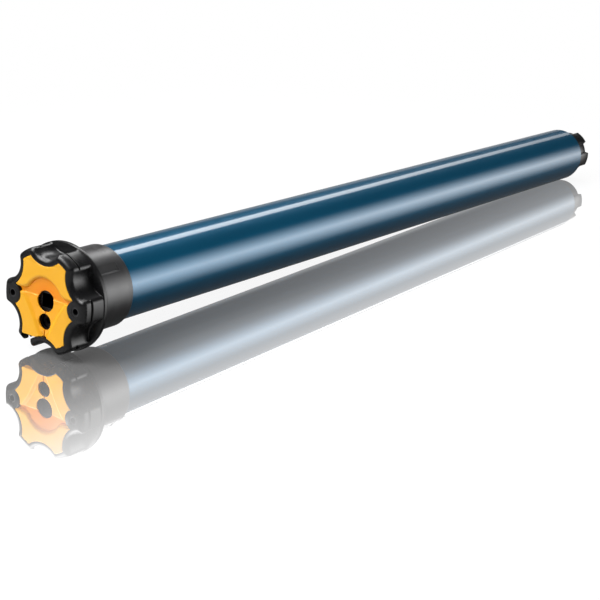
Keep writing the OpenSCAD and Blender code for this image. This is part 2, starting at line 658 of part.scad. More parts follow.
module stator_windings() color([0.72, 0.42, 0.2]) {
    for (x = [core_x - winding_len, core_x + stack_len])
        turned([[bore_r + 1.4, x], [bore_r + 8, x], [bore_r + 9, x + 2], [bore_r + 9, x + winding_len - 2],
            [bore_r + 8, x + winding_len], [bore_r + 1.4, x + winding_len]]);
    along(core_x - 1) linear_extrude(stack_len + 2)
        for (i = [0:slot_count - 1]) rotate(360 / slot_count * i) translate([bore_r + 1.6, -1.15]) square([7.2, 2.3]);
}

module thermal_cutout() color([0.9, 0.88, 0.8])
    rod(shield_x + shield_t + 0.3, winding_gap - 0.3, 4.5, 0, -bore_r - 4.8);

module rotor_core() color([0.5, 0.5, 0.52]) difference() {
    union() {
        rod(core_x, stack_len, bore_r - 0.4);
        for (x = [core_x - 8, core_x + stack_len - cut]) rod(x, 8 + cut, bore_r - 1.4);
        for (x = [core_x - 13, core_x + stack_len + 7], i = [0:7])
            rotate([45 * i, 0, 0]) block([x, 9, -0.8], [x + 6, bore_r - 2.4, 0.8]);
    }
    rod(core_x - 20, stack_len + 40, motor_shaft_r);
}

// Motor shaft, with the first sun pinion cut on its end
module rotor_shaft() color([0.75, 0.76, 0.78]) {
    rod(shield_x + 0.5, gear_x + case_plate - shield_x - 0.5, motor_shaft_r);
    gear(gear_x + case_plate - 0.5, 0.5 + gap + stage_w[0], sun_teeth, gear_m);
}

// Brake: a spring pushes the armature on the disc, and the coil pulls it off

brake_plate_t = 6;
disc_x = brake_x + brake_plate_t + gap;
disc_t = 8;
armature_x = disc_x + disc_t + 0.1;
armature_t = 5;
brake_stroke = 0.4;
pot_x = armature_x + armature_t + brake_stroke + 0.1;
pot_len = gear_x - pot_x;
pin_circle = 24;
pin_angles = [30, 150, 270];

module brake_plate() color([0.6, 0.6, 0.62])
    tube(brake_x, brake_plate_t, fit_r, motor_shaft_r + 2);

module brake_disc() color([0.35, 0.3, 0.27])
    tube(disc_x, disc_t, coil_r, motor_shaft_r);

module brake_armature() color([0.5, 0.5, 0.53]) difference() {
    tube(armature_x, armature_t, pin_circle + 3, motor_shaft_r + 1);
    for (a = pin_angles) rod(armature_x - cut, armature_t + 2 * cut, 2 + 0.08, pin_circle * cos(a), pin_circle * sin(a));
}

module brake_housing() color([0.48, 0.48, 0.5]) {
    difference() {
        tube(pot_x, pot_len, fit_r, motor_shaft_r + 1);
        tube(pot_x - cut, coil_len + seat + cut, coil_r + 0.2, coil_bore_r - 0.2);
        tube(pot_x - cut, coil_len / 2 + cut, coil_bore_r - 1.8, motor_shaft_r);
    }
    for (a = pin_angles) rod(armature_x, armature_t + 3, 2, pin_circle * cos(a), pin_circle * sin(a));
}

module brake_coil() color([0.7, 0.38, 0.18])
    tube(pot_x + seat, coil_len, coil_r, coil_bore_r);

// Coil spring as one tube that climbs round the shaft
module brake_spring() color([0.72, 0.74, 0.76]) {
    wire_r = 0.8;
    mean_r = coil_bore_r - 3.8;
    turns = 4;
    steps = 20;
    rise = coil_len / 2 - 2 * wire_r - seat;
    n = turns * steps;
    polyhedron(
        points = [for (i = [0:n], j = [0:5]) let (a = 360 * i / steps, b = 60 * j, r = mean_r + wire_r * cos(b))
            [pot_x + 0.05 + wire_r + rise * i / n + wire_r * sin(b), r * cos(a), r * sin(a)]],
        faces = concat(
            [[5, 4, 3, 2, 1, 0]],
            [for (i = [0:n - 1], j = [0:5])
                [i * 6 + j, i * 6 + (j + 1) % 6, (i + 1) * 6 + (j + 1) % 6, (i + 1) * 6 + j]],
            [[for (j = [0:5]) n * 6 + j]]));
}

// Planetary gearbox

carrier_r = gear_m * (ring_teeth / 2 - add_out) - 0.25;

module gear_case() color([0.5, 0.5, 0.48]) {
    tube(gear_x, case_plate, fit_r, motor_shaft_r + 0.4);
    difference() {
        rod(gear_x + case_plate, end_plate_x - gear_x - case_plate, fit_r);
        gear_space(gear_x + case_plate - cut, end_plate_x - gear_x - case_plate + 2 * cut, ring_teeth, gear_m);
    }
}

module planet(stage, place) {
    angle = 120 * place;
    difference() {
        gear(stage_x[stage], stage_w[stage], planet_teeth, gear_m,
            mesh_turn(angle, 0, sun_teeth, planet_teeth), planet_orbit * cos(angle), planet_orbit * sin(angle));
        rod(stage_x[stage] - cut, stage_w[stage] + 2 * cut, planet_pin_r + running_fit,
            planet_orbit * cos(angle), planet_orbit * sin(angle));
    }
}

module carrier_pins(stage)
    for (place = [0:2]) rod(stage_x[stage] + 0.5, stage_w[stage] + gap, planet_pin_r,
        planet_orbit * cos(120 * place), planet_orbit * sin(120 * place));

// A carrier's disc, its planet pins, and the sun gear of the next stage
module carrier(stage) {
    disc_x = stage_x[stage] + stage_w[stage] + gap;
    rod(disc_x, carrier_t[stage], carrier_r);
    carrier_pins(stage);
    gear(disc_x + carrier_t[stage] - 0.5, stage_w[stage + 1] + gap + 0.5, sun_teeth, gear_m);
}
module carrier_1() color([0.62, 0.62, 0.6]) carrier(0);
module carrier_2() color([0.62, 0.62, 0.6]) carrier(1);

module planet_1a() color([0.8, 0.78, 0.7]) planet(0, 0);
module planet_1b() color([0.8, 0.78, 0.7]) planet(0, 1);
module planet_1c() color([0.8, 0.78, 0.7]) planet(0, 2);
module planet_2a() color([0.66, 0.66, 0.68]) planet(1, 0);
module planet_2b() color([0.66, 0.66, 0.68]) planet(1, 1);
module planet_2c() color([0.66, 0.66, 0.68]) planet(1, 2);
module planet_3a() color([0.6, 0.6, 0.63]) planet(2, 0);
module planet_3b() color([0.6, 0.6, 0.63]) planet(2, 1);
module planet_3c() color([0.6, 0.6, 0.63]) planet(2, 2);

// Output shaft with the third carrier, and the drive end

module output_shaft() color([0.55, 0.55, 0.58]) {
    disc_x = stage_x[2] + stage_w[2] + gap;
    carrier_pins(2);
    rod(disc_x, carrier_t[2], carrier_r);
    difference() {
        union() {
            rod(disc_x + 1, hub_x - disc_x - 1, output_r);
            translate([hub_x - cut, 0, 0]) rotate([90, 0, 90]) cylinder(r = hex_r, h = hub_len - hub_pocket - 2 + cut, $fn = 6);
        }
        rod(hub_seat_x - 22, 22, 3);
    }
}

module gearbox_end_plate() color([0.68, 0.69, 0.7])
    tube(end_plate_x, end_plate_len, fit_r, output_bush_r);

module output_bushes() color([0.72, 0.56, 0.35]) {
    tube(end_plate_x + 0.5, end_plate_len - 0.5, output_bush_r, output_r + running_fit);
    tube(end_cap_x, end_cap_len - seal_t, output_bush_r, output_r + running_fit);
}

module end_cap() color([0.2, 0.2, 0.21]) difference() {
    tube(end_cap_x, end_cap_len - 0.2, fit_r, output_bush_r);
    rod(tube_end - seal_t, seal_t + cut, seal_r);
}

module shaft_seal() color([0.08, 0.08, 0.08])
    tube(tube_end - seal_t, seal_t - 0.4, seal_r, output_r + running_fit);

module drive_hub() color([0.3, 0.3, 0.31]) difference() {
    union() {
        rod(hub_x, hub_len, hub_body_r);
        intersection() {
            rod(hub_x, hub_lobe_len, hub_r);
            // Two pairs of lobes, with wider gaps between the pairs
            for (i = [0, 2, 3, 5]) rotate([60 * i + hub_turn, 0, 0])
                block([hub_x, hub_body_r - 6, -hub_lobe_w / 2], [hub_x + hub_lobe_len, hub_r + 2, hub_lobe_w / 2]);
        }
    }
    translate([hub_x - cut, 0, 0]) rotate([90, 0, 90]) cylinder(r = hex_r + seat, h = hub_len, $fn = 6);
    rod(hub_seat_x, hub_pocket + cut, hub_pocket_r);
}

module hub_screw() color([0.72, 0.73, 0.75]) {
    rod(hub_seat_x - 20, 21, 3 - running_fit);
    rod(hub_seat_x, 1.6, output_r);
    difference() {
        rod(hub_seat_x + 1.6, 4, 5.2);
        translate([hub_seat_x + 3, 0, 0]) rotate([90, 0, 90]) cylinder(r = 2.9, h = 4, $fn = 6);
    }
}

head_casting();
face_cover();
bracket_inserts();
side_screw();
power_socket();
socket_pins();
setting_adjuster();
head_screws();
tube_plug();
crown();
motor_tube();
plug_screws();
limit_frame();
limit_idler();
up_spindle();
down_spindle();
up_nut();
down_nut();
switch_carriage();
up_switch();
down_switch();
up_plunger();
down_plunger();
inner_leads();
terminal_board();
capacitor();
capacitor_cradles();
front_shield();
motor_bushes();
stator_core();
stator_windings();
thermal_cutout();
rotor_core();
rotor_shaft();
rear_shield();
brake_plate();
brake_disc();
brake_armature();
brake_coil();
brake_housing();
brake_spring();
gear_case();
carrier_1();
carrier_2();
output_shaft();
planet_1a();
planet_1b();
planet_1c();
planet_2a();
planet_2b();
planet_2c();
planet_3a();
planet_3b();
planet_3c();
gearbox_end_plate();
output_bushes();
end_cap();
shaft_seal();
drive_hub();
hub_screw();
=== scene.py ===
# %% [markdown]
# # Tubular roller blind motor
# The motor lies inside the tube of a roller blind. Its star shaped head stays still on the wall
# bracket, the crown behind it turns with the blind, and a hub at the far end drives the blind.
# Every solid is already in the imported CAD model. This script gives the pieces that show a finer
# surface and a finish, and sets up the floor, the lights and the camera.

import json
import math

import bmesh
import bpy
import numpy as np
from mathutils import Matrix

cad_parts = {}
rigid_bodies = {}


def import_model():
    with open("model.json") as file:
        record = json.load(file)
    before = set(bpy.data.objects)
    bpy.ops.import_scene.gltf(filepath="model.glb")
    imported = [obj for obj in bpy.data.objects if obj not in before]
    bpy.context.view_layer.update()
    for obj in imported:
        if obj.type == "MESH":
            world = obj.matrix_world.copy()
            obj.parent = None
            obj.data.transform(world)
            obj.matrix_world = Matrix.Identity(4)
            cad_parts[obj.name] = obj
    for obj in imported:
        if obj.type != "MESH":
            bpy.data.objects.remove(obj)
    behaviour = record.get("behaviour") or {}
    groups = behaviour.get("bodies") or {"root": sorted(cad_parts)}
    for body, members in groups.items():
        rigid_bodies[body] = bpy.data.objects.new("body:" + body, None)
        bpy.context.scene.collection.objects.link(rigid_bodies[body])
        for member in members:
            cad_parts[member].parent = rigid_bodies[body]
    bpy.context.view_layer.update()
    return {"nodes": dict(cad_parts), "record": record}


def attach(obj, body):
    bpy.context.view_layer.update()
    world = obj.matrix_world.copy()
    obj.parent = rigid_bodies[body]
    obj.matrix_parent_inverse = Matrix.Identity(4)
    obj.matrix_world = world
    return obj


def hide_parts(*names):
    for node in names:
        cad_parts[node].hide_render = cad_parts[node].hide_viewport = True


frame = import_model()
MM = 0.001
TURN = 2 * math.pi

# %% [markdown]
# ## A surface on a grid
# Most pieces here are turned round the motor's long axis, or nearly so. Each can be written as a
# function of two parameters: the angle round the axis, and a step along a profile. One helper
# turns such a grid of points into a mesh. It could also be a Screw modifier on a curve, but a
# grid can change its radius with the angle, which the star and the crown's flats need.

# %% Surface helpers
def around(count):
    """Evenly spaced angles, once round the axis."""
    return np.arange(count) * TURN / count


def ring_grid(theta, rows):
    """Grid of points for a profile: each row is (x, radius), and either can change with the angle theta.
    A point is (x, radius * cos(theta), radius * sin(theta)), in millimetres."""
    x = np.stack([np.broadcast_to(row[0], theta.shape) for row in rows])
    r = np.stack([np.broadcast_to(row[1], theta.shape) for row in rows])
    return np.stack([x, r * np.cos(theta), r * np.sin(theta)], axis=-1)


def grid_faces(rows, columns, ring):
    """Corner numbers of the quads between each row and the next. A ring closes the last row on the first."""
    number = np.arange(rows * columns).reshape(rows, columns)
    low = number if ring else number[:-1]
    high = np.roll(number, -1, axis=0) if ring else number[1:]
    return np.stack([low, np.roll(low, -1, 1), np.roll(high, -1, 1), high], axis=-1).reshape(-1, 4)


def mesh_from_grid(name, grid, ring=False):
    """Mesh of a grid whose columns run round the axis. Without a ring, a pole closes each end."""
    rows, columns = grid.shape[:2]
    points = grid.reshape(-1, 3)
    faces = grid_faces(rows, columns, ring).tolist()
    if not ring:
        ends = np.stack([grid[0].mean(axis=0), grid[-1].mean(axis=0)])
        first, last = len(points), len(points) + 1
        points = np.concatenate([points, ends])
        here = np.arange(columns)
        there = (here + 1) % columns
        top = (rows - 1) * columns
        faces += np.stack([np.full(columns, first), there, here], axis=-1).tolist()
        faces += np.stack([top + here, top + there, np.full(columns, last)], axis=-1).tolist()
    mesh = bpy.data.meshes.new(name)
    mesh.from_pydata((points * MM).tolist(), [], faces)
    outwards(mesh)
    return mesh


def outwards(mesh):
    """Turns all faces of a closed mesh outwards."""
    shape = bmesh.new()
    shape.from_mesh(mesh)
    bmesh.ops.recalc_face_normals(shape, faces=shape.faces)
    shape.to_mesh(mesh)
    shape.free()


def add_object(name, mesh):
    """Puts a mesh into the scene at the origin."""
    thing = bpy.data.objects.new(name, mesh)
    bpy.context.scene.collection.objects.link(thing)
    return thing


def smooth(mesh, degrees=32):
    """Smooth shading that keeps every edge sharper than the angle."""
    mesh.polygons.foreach_set("use_smooth", np.ones(len(mesh.polygons), dtype=bool))
    mesh.set_sharp_from_angle(angle=math.radians(degrees))


def joined(name, meshes):
    """One mesh out of several."""
    shape = bmesh.new()
    for mesh in meshes:
        shape.from_mesh(mesh)
        bpy.data.meshes.remove(mesh)
    mesh = bpy.data.meshes.new(name)
    shape.to_mesh(mesh)
    shape.free()
    return mesh


def cut_out(name, body, cutters):
    """The body with all cutters taken away from it, as a plain mesh."""
    piece = add_object(name, body)
    tool = add_object(name + "_tool", joined(name + "_tool", cutters))
    cut = piece.modifiers.new("cut", "BOOLEAN")
    cut.operation = "DIFFERENCE"
    cut.solver = "EXACT"
    cut.object = tool
    graph = bpy.context.evaluated_depsgraph_get()
    result = bpy.data.meshes.new_from_object(piece.evaluated_get(graph))
    piece.modifiers.clear()
    piece.data = result
    bpy.data.objects.remove(tool)
    print(name, "has", len(result.polygons), "faces")
    return piece


PEG_SIDES = 64


def peg(x, y, z, length, radius):
    """Round cutter along X from x, with its axis at (y, z)."""
    grid = ring_grid(around(PEG_SIDES), [(x, radius), (x + length, radius)])
    return mesh_from_grid("peg", grid + [0, y, z])


def brick(low, high):
    """Square cutter between two corners: a ring of four points, stretched to the size."""
    low, high = np.array(low, float), np.array(high, float)
    middle, half = (low + high) / 2, (high - low) / 2
    unit = ring_grid(around(4) + TURN / 8, [(-1, math.sqrt(2)), (1, math.sqrt(2))])
    return mesh_from_grid("brick", unit * half + middle)


# %% [markdown]
# ## The outline of the star
# The head has six lobes with hollow scallops between them, so that a bracket can grip it at any
# sixth of a turn. A star like this could be drawn with curve handles, but a formula gives every
# smaller outline too: the front edge and the yellow cover are the same star, moved inwards.

# %% Star outline
LOBE_R = 41.2
SCALLOP_R = 15.0
SCALLOP_REACH = 48.0
LOBE_CORNER_R = 4.0
LEAST_CORNER_R = 0.6
BOSS_AT = 31.85
BOSS_R = 8.2
COVER_INSET = 5.5


def star_radius(theta, inset=0.0):
    """Radius of the star's outline, moved inwards by inset. The angle is folded to the nearest lobe's
    middle. Then there is an arc over the lobe, a small arc at its corner, and the arc of the scallop."""
    fold = np.abs((theta + TURN / 12) % (TURN / 6) - TURN / 12)
    tip = LOBE_R - inset
    bend = max(LOBE_CORNER_R - inset, LEAST_CORNER_R)
    hollow = SCALLOP_R + inset
    arm = tip - bend
    share = (SCALLOP_REACH**2 + arm**2 - (hollow + bend) ** 2) / (2 * SCALLOP_REACH * arm)
    corner = TURN / 12 - math.acos(share)
    corner_at = arm * np.array([math.cos(corner), math.sin(corner)])
    scallop_at = SCALLOP_REACH * np.array([math.cos(TURN / 12), math.sin(TURN / 12)])
    meet = corner_at + (scallop_at - corner_at) * bend / (hollow + bend)
    touch = math.atan2(meet[1], meet[0])
    side = np.maximum(bend**2 - (arm * np.sin(fold - corner)) ** 2, 0)
    on_corner = arm * np.cos(fold - corner) + np.sqrt(side)
    off = TURN / 12 - fold
    side = np.maximum(hollow**2 - (SCALLOP_REACH * np.sin(off)) ** 2, 0)
    on_scallop = SCALLOP_REACH * np.cos(off) - np.sqrt(side)
    return np.where(fold < corner, tip, np.where(fold < touch, on_corner, on_scallop))


def cover_radius(theta, wider=0.0):
    """Outline of the yellow cover: the star moved inwards, less a circle round each bracket hole."""
    radius = star_radius(theta, COVER_INSET - wider)
    boss = BOSS_R - wider
    for middle in (0.0, TURN / 2):
        off = (theta - middle + TURN / 2) % TURN - TURN / 2
        under = boss**2 - (BOSS_AT * np.sin(off)) ** 2
        near = BOSS_AT * np.cos(off) - np.sqrt(np.maximum(under, 0))
        inside = (under > 0) & (np.cos(off) > 0)
        radius = np.where(inside, np.minimum(radius, near), radius)
    return radius


# %% [markdown]
# ## The star head
# The real head is one black moulding: the star, a round flange, and the journal that the crown
# turns on. Its front edge is rounded, which is where its highlights lie. The profile below runs
# from the middle of the cover's pocket out over the rim and back along the journal. The holes
# and the cable slot are taken out afterwards, because a grid round the axis can't hold them.

# %% Sizes of the head
COVER_T = 5.0
COVER_GAP = 0.15
RIM_ROUND = 4.7
STAR_LEN = 20.7
GROOVE_X, GROOVE_END = 7.7, 9.3
GROOVE_FLOOR = 39.6
FLANGE_R = 42.2
FLANGE_END = 24.2
JOURNAL_R = 29.2
JOURNAL_END = 46.0
NECK_R = 25.3
NECK_END = 63.6
HEAD_COLUMNS = 1080

# Each pair is a distance from the groove and how far the lobe's round edge lies below its tip there.
GROOVE_EDGE = [(0.8, 0.0), (0.55, 0.0), (0.3, 0.12), (0.05, 0.45)]

# %% Profile of the head
theta = around(HEAD_COLUMNS)
star = star_radius(theta)
rim = star_radius(theta, RIM_ROUND)
pocket = cover_radius(theta, COVER_GAP)
front = pocket + 0.35
rows = [(COVER_T, pocket * 0.5), (COVER_T, pocket - 0.3), (COVER_T, pocket)]
rows += [(2.5, pocket), (0.4, pocket), (0.12, pocket + 0.08), (0.0, front)]
rows += [(0.0, front + (rim - front) * share) for share in (0.33, 0.66, 1.0)]
for turn in np.linspace(0, TURN / 4, 8)[1:]:
    rows.append((RIM_ROUND * (1 - math.cos(turn)), star_radius(theta, RIM_ROUND * (1 - math.sin(turn)))))

grooved = np.minimum(star, GROOVE_FLOOR)
edge = [(away, np.minimum(star, LOBE_R - drop)) for away, drop in GROOVE_EDGE]
rows += [(GROOVE_X - away, radius) for away, radius in edge]
rows += [(GROOVE_X, grooved), (GROOVE_END, grooved)]
rows += [(GROOVE_END + away, radius) for away, radius in reversed(edge)]

foot = np.minimum(star + 0.7, FLANGE_R - 0.6)
rows += [(STAR_LEN - 1.0, star), (STAR_LEN - 0.4, star + (foot - star) * 0.25), (STAR_LEN, foot)]
rows += [(STAR_LEN, FLANGE_R - 0.5), (STAR_LEN + 0.15, FLANGE_R - 0.15), (STAR_LEN + 0.5, FLANGE_R)]
rows += [(FLANGE_END - 0.5, FLANGE_R), (FLANGE_END - 0.15, FLANGE_R - 0.15), (FLANGE_END, FLANGE_R - 0.5)]
rows += [(FLANGE_END, JOURNAL_R), (JOURNAL_END, JOURNAL_R), (JOURNAL_END, NECK_R), (NECK_END, NECK_R)]
print("profile of the head has", len(rows), "rows")

# %% Holes and slot of the head
SETTING_DROP = 15.8
SETTING_BORE_R = 5.9
SETTING_BORE_END = 16.0
BRACKET_HOLE_R = 3.6
BRACKET_HOLE_END = 12.1
STUD_HALF = 5.5
STUD_END = 31.0
SLOT_Y = 17.0
SLOT_HALF = 4.75
SLOT_TOP = -28.4
SLOT_END = 16.1
SIDE_SCREW_X = 10.4
SIDE_SCREW_R = 2.3
SIDE_SCREW_TURN = math.radians(232)
RADIAL_PEG_SIDES = 48


def radial_peg(turn, x, start, length, radius):
    """Round cutter that points away from the axis at the angle turn: a peg turned about the motor's axis."""
    grid = ring_grid(around(RADIAL_PEG_SIDES), [(start, radius), (start + length, radius)])
    out, along, across = grid[..., 0], grid[..., 1], grid[..., 2]
    y = out * math.cos(turn) - across * math.sin(turn)
    z = out * math.sin(turn) + across * math.cos(turn)
    return mesh_from_grid("radial_peg", np.stack([x + along, y, z], axis=-1))


inside_pocket = COVER_T - 1
cutters = [peg(-1, side * BOSS_AT, 0, BRACKET_HOLE_END + 1, BRACKET_HOLE_R) for side in (-1, 1)]
cutters += [
    brick((inside_pocket, -STUD_HALF, -STUD_HALF), (STUD_END, STUD_HALF, STUD_HALF)),
    peg(inside_pocket, 0, -SETTING_DROP, SETTING_BORE_END - inside_pocket, SETTING_BORE_R),
    brick((-1, SLOT_Y - SLOT_HALF, -45), (SLOT_END, SLOT_Y + SLOT_HALF, SLOT_TOP)),
    radial_peg(SIDE_SCREW_TURN, SIDE_SCREW_X, LOBE_R - 6, 8, SIDE_SCREW_R),
]
head = cut_out("star_head", mesh_from_grid("star_head", ring_grid(theta, rows)), cutters)
smooth(head.data)
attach(head, "root")
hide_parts("head_casting")

# %% [markdown]
# ## The yellow cover
# The cover is a moulding. Under a raised arch its face rolls down into a soft hollow. Below a
# crease lies a bowl that narrows downwards, with both holes in it and a fine slit. Such a relief
# could be sculpted, but here its depth is a function of the place on the face. The grid runs from
# the hole on the axis out to the outline, and its last rows go over the edge.

# %% Relief of the cover
STUD_HOLE_R = 8.0
SETTING_HOLE_R = 6.2
ARCH_R = 18.2
ARCH_Y = np.array([15.2, 16.8, 18.8, 21.5, 26.0, 32.0])
ARCH_Z = np.array([10.0, 8.3, 7.2, 6.7, 6.5, 6.4])
ROLL_START = 2.6
ROLL_WIDTH = 3.2
ROLL_DEPTH = 2.9
HOLLOW_DEPTH = 0.9
HOLLOW_REACH = 13.0
CREASE_Z = 3.0
BOWL_Z = np.array([-30.0, -25.0, -20.0, -15.0, -10.0, -5.0, 0.0, 4.0, 20.0])
BOWL_Y = np.array([2.0, 4.6, 7.2, 9.8, 12.6, 15.6, 19.2, 22.4, 36.0])
BOWL_LEAN = 0.87
BOWL_WALL = 1.8
BOWL_WALL_WIDTH = 3.4
BOWL_SINK = 0.7
BOWL_REACH = 16.0
SLIT_TOP = -7.0
SLIT_HALF = 0.42
SLIT_DEPTH = 2.0


def arch_height(y):
    """Height of the arch over the place y: a circle in the middle, and a sweep to the boss at each side."""
    y = np.abs(y)
    circle = np.sqrt(np.maximum(ARCH_R**2 - y**2, 0))
    return np.where(y < ARCH_Y[0], circle, np.interp(y, ARCH_Y, ARCH_Z))


def step(value):
    """Runs smoothly from 0 to 1 as value does."""
    value = np.clip(value, 0, 1)
    return value * value * (3 - 2 * value)


def relief(y, z):
    """Depth of the cover's face below the plane of the star's face. Over the arch's line the face rolls
    down like a quarter round, and the hollow under it deepens softly. Below the crease the bowl has a
    soft wall along its slanting side and sinks a little towards its middle."""
    slope = (arch_height(y + 0.05) - arch_height(y - 0.05)) / 0.1
    below_arch = (arch_height(y) - z) / np.sqrt(1 + slope**2)
    roll = np.clip((below_arch + ROLL_START) / ROLL_WIDTH, 0, 1)
    rolled = ROLL_DEPTH * (1 - np.sqrt(1 - 0.96 * roll**2))
    hollow = rolled + HOLLOW_DEPTH * step(below_arch / HOLLOW_REACH)
    inside = (np.interp(z, BOWL_Z, BOWL_Y) - np.abs(y)) * BOWL_LEAN
    bowl = 0.1 + BOWL_WALL * step(inside / BOWL_WALL_WIDTH + 0.4) + BOWL_SINK * step(inside / BOWL_REACH)
    above_crease = step(z - CREASE_Z + 0.5)
    slit = SLIT_DEPTH * np.maximum(1 - (y / SLIT_HALF) ** 2, 0) * step((SLIT_TOP - z) / 0.5)
    return hollow * above_crease + bowl * (1 - above_crease) + slit


# %% Face cover
CUT_Z = -29.2
EDGE = 0.6
EDGE_STEPS = (0.0, 0.04, 0.14, 0.33, EDGE)
HOLE_RELIEF = 1.7
COVER_COLUMNS = 840
CROWDING = 0.6
FACE_ROWS = 80

# The columns lie closest at the bottom, where the slit is narrow.
share = np.arange(COVER_COLUMNS) / COVER_COLUMNS
theta = -TURN / 4 + TURN * (share - CROWDING / TURN * np.sin(TURN * share))
outline = cover_radius(theta)
low_arm = (theta > -TURN / 4) & (theta < -TURN / 12)
outline = np.where(low_arm, np.minimum(outline, CUT_Z / np.minimum(np.sin(theta), -0.1)), outline)


def edge_drop(inwards):
    """How far a rounded edge lies below the face, at a distance inwards from it: a quarter circle."""
    inwards = np.clip(inwards, 0, EDGE)
    return EDGE - np.sqrt(EDGE**2 - (EDGE - inwards) ** 2)


rows = [(edge_drop(inwards), STUD_HOLE_R + inwards) for inwards in EDGE_STEPS]
for part in np.linspace(0, 1, FACE_ROWS)[1:-1]:
    rows.append((0.0, STUD_HOLE_R + EDGE + part * (outline - STUD_HOLE_R - 2 * EDGE)))
rows += [(edge_drop(inwards), outline - inwards) for inwards in reversed(EDGE_STEPS)]
face = ring_grid(theta, rows)
face[..., 0] += relief(face[..., 1], face[..., 2])
back = ring_grid(theta, [(COVER_T, outline), (COVER_T, STUD_HOLE_R + HOLE_RELIEF)])
cover_mesh = mesh_from_grid("cover", np.concatenate([face, back]), ring=True)
widening = [(-1, SETTING_HOLE_R), (3.2, SETTING_HOLE_R), (COVER_T + 0.2, SETTING_HOLE_R + HOLE_RELIEF)]
setting_hole = ring_grid(around(96), widening) + [0, 0, -SETTING_DROP]
cover = cut_out("cover", cover_mesh, [mesh_from_grid("setting_hole", setting_hole)])
smooth(cover.data, 40)
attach(cover, "root")
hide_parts("face_cover")

# %% [markdown]
# ## The crown
# The crown is a dark moulded ring that slides in the end of the blind's tube and turns with it.
# A tongue of the blind's tube lies in its key flat, and its inner teeth drive the limit unit. It
# could be a lathe shape with cuts, but the flats are easy in the radius itself: a flat at the
# distance d from the axis has the radius d / cos(angle from its middle).

# %% Sizes of the crown
CROWN_R = 32.6
CROWN_X = 24.55
CROWN_END = 63.25
CROWN_BORE_R = 29.25
CROWN_COLUMNS = 1440
LIP_RISE = 0.9
FLAT_AT = 31.8
KEY_X, KEY_END = 33.6, 53.6
WIDE_KEY_TURN, NARROW_KEY_TURN, NOTCH_TURN = 142, 322, 212
NOTCH_HALF = 2.5
NOTCH_END = 29.5
TEETH = 72
TOOTH_R = 27.1
TOOTH_HALF_HEIGHT = 0.7
TEETH_X = 46.4
theta = around(CROWN_COLUMNS)


def turn_from(theta, degrees):
    """Angle from a direction, between minus half a turn and half a turn."""
    return (theta - math.radians(degrees) + TURN / 2) % TURN - TURN / 2


def with_flat(radius, degrees, low, high, ease=3.0):
    """The radius cut to a flat, between two places across it. Each step runs out over the length ease."""
    off = turn_from(theta, degrees)
    flat = FLAT_AT / np.maximum(np.cos(off), 0.5)
    across = FLAT_AT * np.tan(np.clip(off, -1, 1))
    share = step((across - low) / ease + 0.5) * step((high - across) / ease + 0.5)
    return radius - share * np.maximum(radius - flat, 0)


# %% Crown
plain = np.full_like(theta, CROWN_R)
lip = plain + LIP_RISE
keyed = with_flat(with_flat(plain, WIDE_KEY_TURN, -12, 0), NARROW_KEY_TURN, -6, 6)
notched_lip = with_flat(lip, NOTCH_TURN, -NOTCH_HALF, NOTCH_HALF, 0.3)
notched = with_flat(plain, NOTCH_TURN, -NOTCH_HALF, NOTCH_HALF, 0.3)
teeth = TOOTH_R + TOOTH_HALF_HEIGHT * np.clip(1.5 * np.cos(TEETH * theta), -1, 1)
lip_edge = [(0.0, lip - 0.35), (0.12, lip - 0.1), (0.4, lip)]
lip_edge += [(2.3, lip), (2.5, lip - 0.08), (3.1, plain + 0.06)]
end_edge = [(62.6, 0.12), (63.1, 0.55), (CROWN_END, 0.85)]
rows = [(CROWN_X, CROWN_BORE_R)]
rows += [(CROWN_X + along, np.minimum(notched_lip, radius)) for along, radius in lip_edge]
rows += [(CROWN_X + 3.4, notched), (NOTCH_END, notched), (NOTCH_END + 0.05, plain)]
rows += [(30.0, plain), (33.0, plain), (KEY_X - 0.3, plain), (KEY_X, keyed), (KEY_X + 0.4, keyed)]
rows += [(KEY_END - 0.4, keyed), (KEY_END, keyed), (KEY_END + 0.3, plain)]
rows += [(x, plain) for x in (54.2, 61.8, 62.2)]
rows += [(x, plain - drop) for x, drop in end_edge]
rows += [(CROWN_END, teeth), (TEETH_X, teeth), (TEETH_X, CROWN_BORE_R)]
crown = add_object("crown_ring", mesh_from_grid("crown_ring", ring_grid(theta, rows), ring=True))
smooth(crown.data)
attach(crown, "crown")
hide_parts("crown")
print("crown has", len(crown.data.polygons), "faces")

# %% [markdown]
# ## The motor tube
# A steel tube of 60 mm with a deep petrol blue lacquer. A plain cylinder would show its long
# facets in the lacquer's gloss, so the grid has many sides, and each end gets a small round.
# Two holes near the head take the screws that hold the plug inside.

# %% Motor tube
TUBE_R = 30.0
TUBE_WALL = 1.5
TUBE_X = NECK_END
TUBE_END = 880.1
TUBE_COLUMNS = 256
PLUG_SCREW_X = 74.6
PLUG_SCREW_HOLE_R = 3.7
PLUG_SCREW_TURNS = [math.radians(285), math.radians(15)]

# Each pair is a distance from the tube's end and how far its round edge lies below its radius there.
END_ROUND = [(0.0, 0.35), (0.1, 0.1), (0.35, 0.0), (0.6, 0.0)]

rows = [(TUBE_X + away, TUBE_R - drop) for away, drop in END_ROUND]
rows += [(x, TUBE_R) for x in (68.0, 82.0, *np.linspace(90, TUBE_END - 12, 10))]
rows += [(TUBE_END - away, TUBE_R - drop) for away, drop in reversed(END_ROUND)]
rows += [(TUBE_END, TUBE_R - TUBE_WALL), (TUBE_X, TUBE_R - TUBE_WALL)]
tube_mesh = mesh_from_grid("tube_skin", ring_grid(around(TUBE_COLUMNS), rows), ring=True)
screw_holes = [radial_peg(turn, PLUG_SCREW_X, 26.5, 6, PLUG_SCREW_HOLE_R) for turn in PLUG_SCREW_TURNS]
tube = cut_out("tube_skin", tube_mesh, screw_holes)
smooth(tube.data)
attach(tube, "root")
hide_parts("motor_tube")

